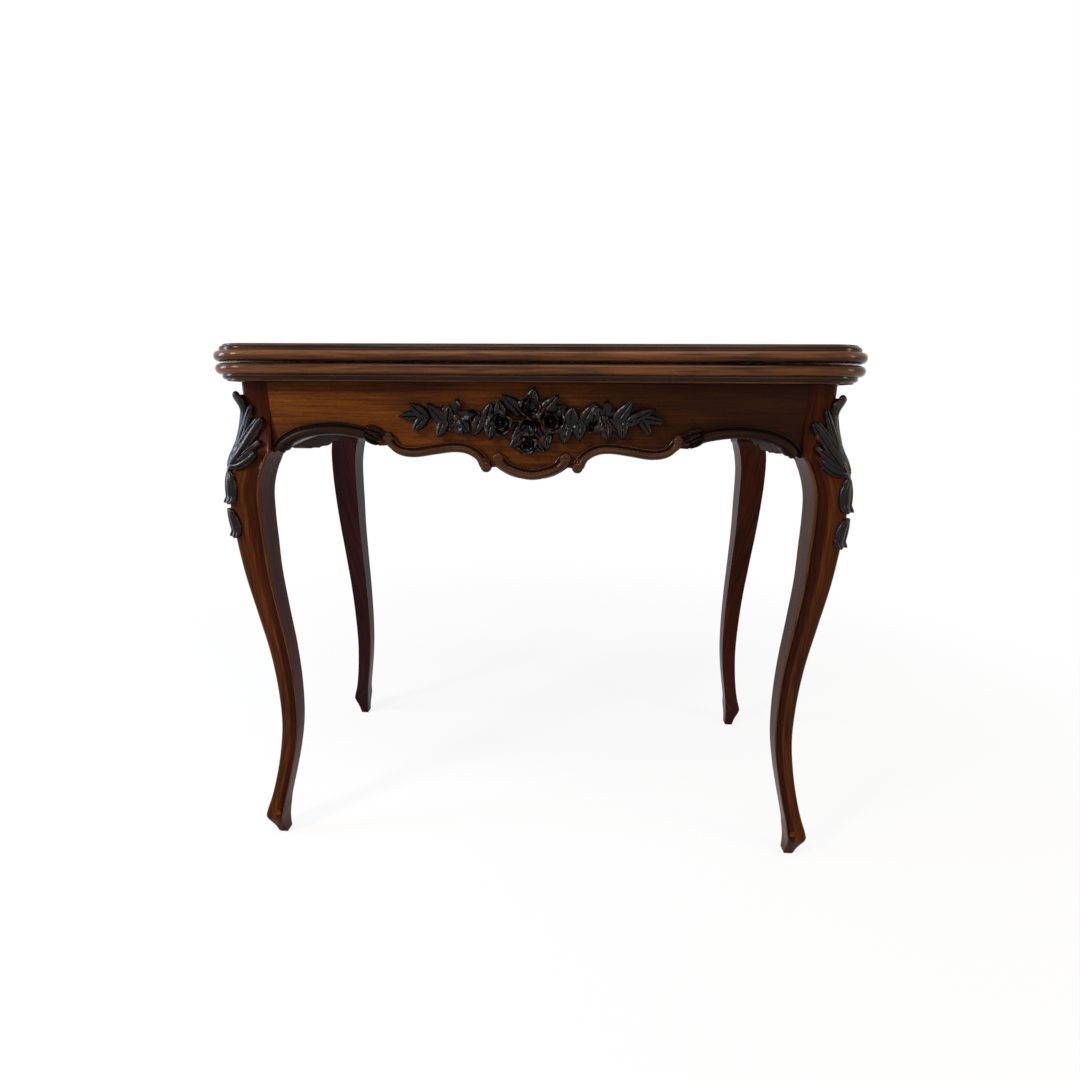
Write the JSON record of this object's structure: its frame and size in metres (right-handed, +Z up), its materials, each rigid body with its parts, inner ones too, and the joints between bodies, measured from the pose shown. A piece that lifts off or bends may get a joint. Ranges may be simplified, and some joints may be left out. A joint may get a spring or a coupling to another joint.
{
  "type": "folding card table",
  "caption": "Half-size hall table on cabriole legs whose double top swivels a quarter turn and unfolds into a square baize-lined playing surface over a storage well.",
  "frame": {"origin": "on the floor, under the middle of the closed top", "axes": "+X along the table's long side, -Y towards the carved front, +Z up"},
  "size_m": [0.8452, 0.4232, 0.741],
  "materials": {
    "polished_rosewood": "French polished",
    "plain_beech": "bare, aged",
    "carved_moulding": "French polished",
    "ebonised_carving": "ebonised and polished",
    "green_baize": "wool baize",
    "brass": "aged",
    "wrought_iron": "blackened"
  },
  "bodies": {
    "frame": {"front_rail": "polished_rosewood", "back_rail": "plain_beech", "side_rail_right": "polished_rosewood", "side_rail_left": "polished_rosewood", "leg_front_right": "polished_rosewood", "leg_front_left": "polished_rosewood", "leg_back_right": "polished_rosewood", "leg_back_left": "polished_rosewood", "well_floor": "plain_beech", "well_partition": "plain_beech", "pivot_bearer": "plain_beech", "stop_peg": "brass", "pendant_scroll": "carved_moulding", "s_scroll_right": "carved_moulding", "s_scroll_left": "carved_moulding", "arch_scroll_right": "carved_moulding", "arch_scroll_left": "carved_moulding", "flower_spray": "ebonised_carving", "knee_leaf_right": "ebonised_carving", "knee_leaf_left": "ebonised_carving", "knee_husks_right": "ebonised_carving", "knee_husks_left": "ebonised_carving"},
    "lower_leaf": {"lower_leaf_panel": "polished_rosewood", "lower_leaf_moulding": "polished_rosewood", "lower_baize": "green_baize", "pivot_spindle": "wrought_iron", "pivot_screws": "wrought_iron", "pivot_washer": "wrought_iron", "pivot_nut": "wrought_iron", "lower_hinge_plate_right": "brass", "lower_hinge_plate_left": "brass", "lower_hinge_screws": "brass", "lower_hinge_pins": "brass"},
    "hinge_links": {"hinge_link_right": "brass", "hinge_link_left": "brass"},
    "upper_leaf": {"upper_leaf_panel": "polished_rosewood", "upper_leaf_moulding": "polished_rosewood", "upper_baize": "green_baize", "upper_hinge_plate_right": "brass", "upper_hinge_plate_left": "brass", "upper_hinge_screws": "brass", "upper_hinge_pins": "brass"}
  },
  "joints": [
    {"name": "top_swivel", "type": "hinge", "parent": "frame", "child": "lower_leaf", "pos_m": [0.1055, 0.1055, 0.696], "axis": [0, 0, 1], "range_deg": [0, 90]},
    {"name": "link_turn", "type": "hinge", "parent": "lower_leaf", "child": "hinge_links", "pos_m": [0, 0.20725, 0.7145], "axis": [-1, 0, 0], "range_deg": [0, 90]},
    {"name": "leaf_fold", "type": "hinge", "parent": "hinge_links", "child": "upper_leaf", "pos_m": [0, 0.20725, 0.7225], "axis": [-1, 0, 0], "range_deg": [0, 90]}
  ],
  "couplings": [
    {"joint": "link_turn", "follows": "leaf_fold", "ratio": 1}
  ]
}
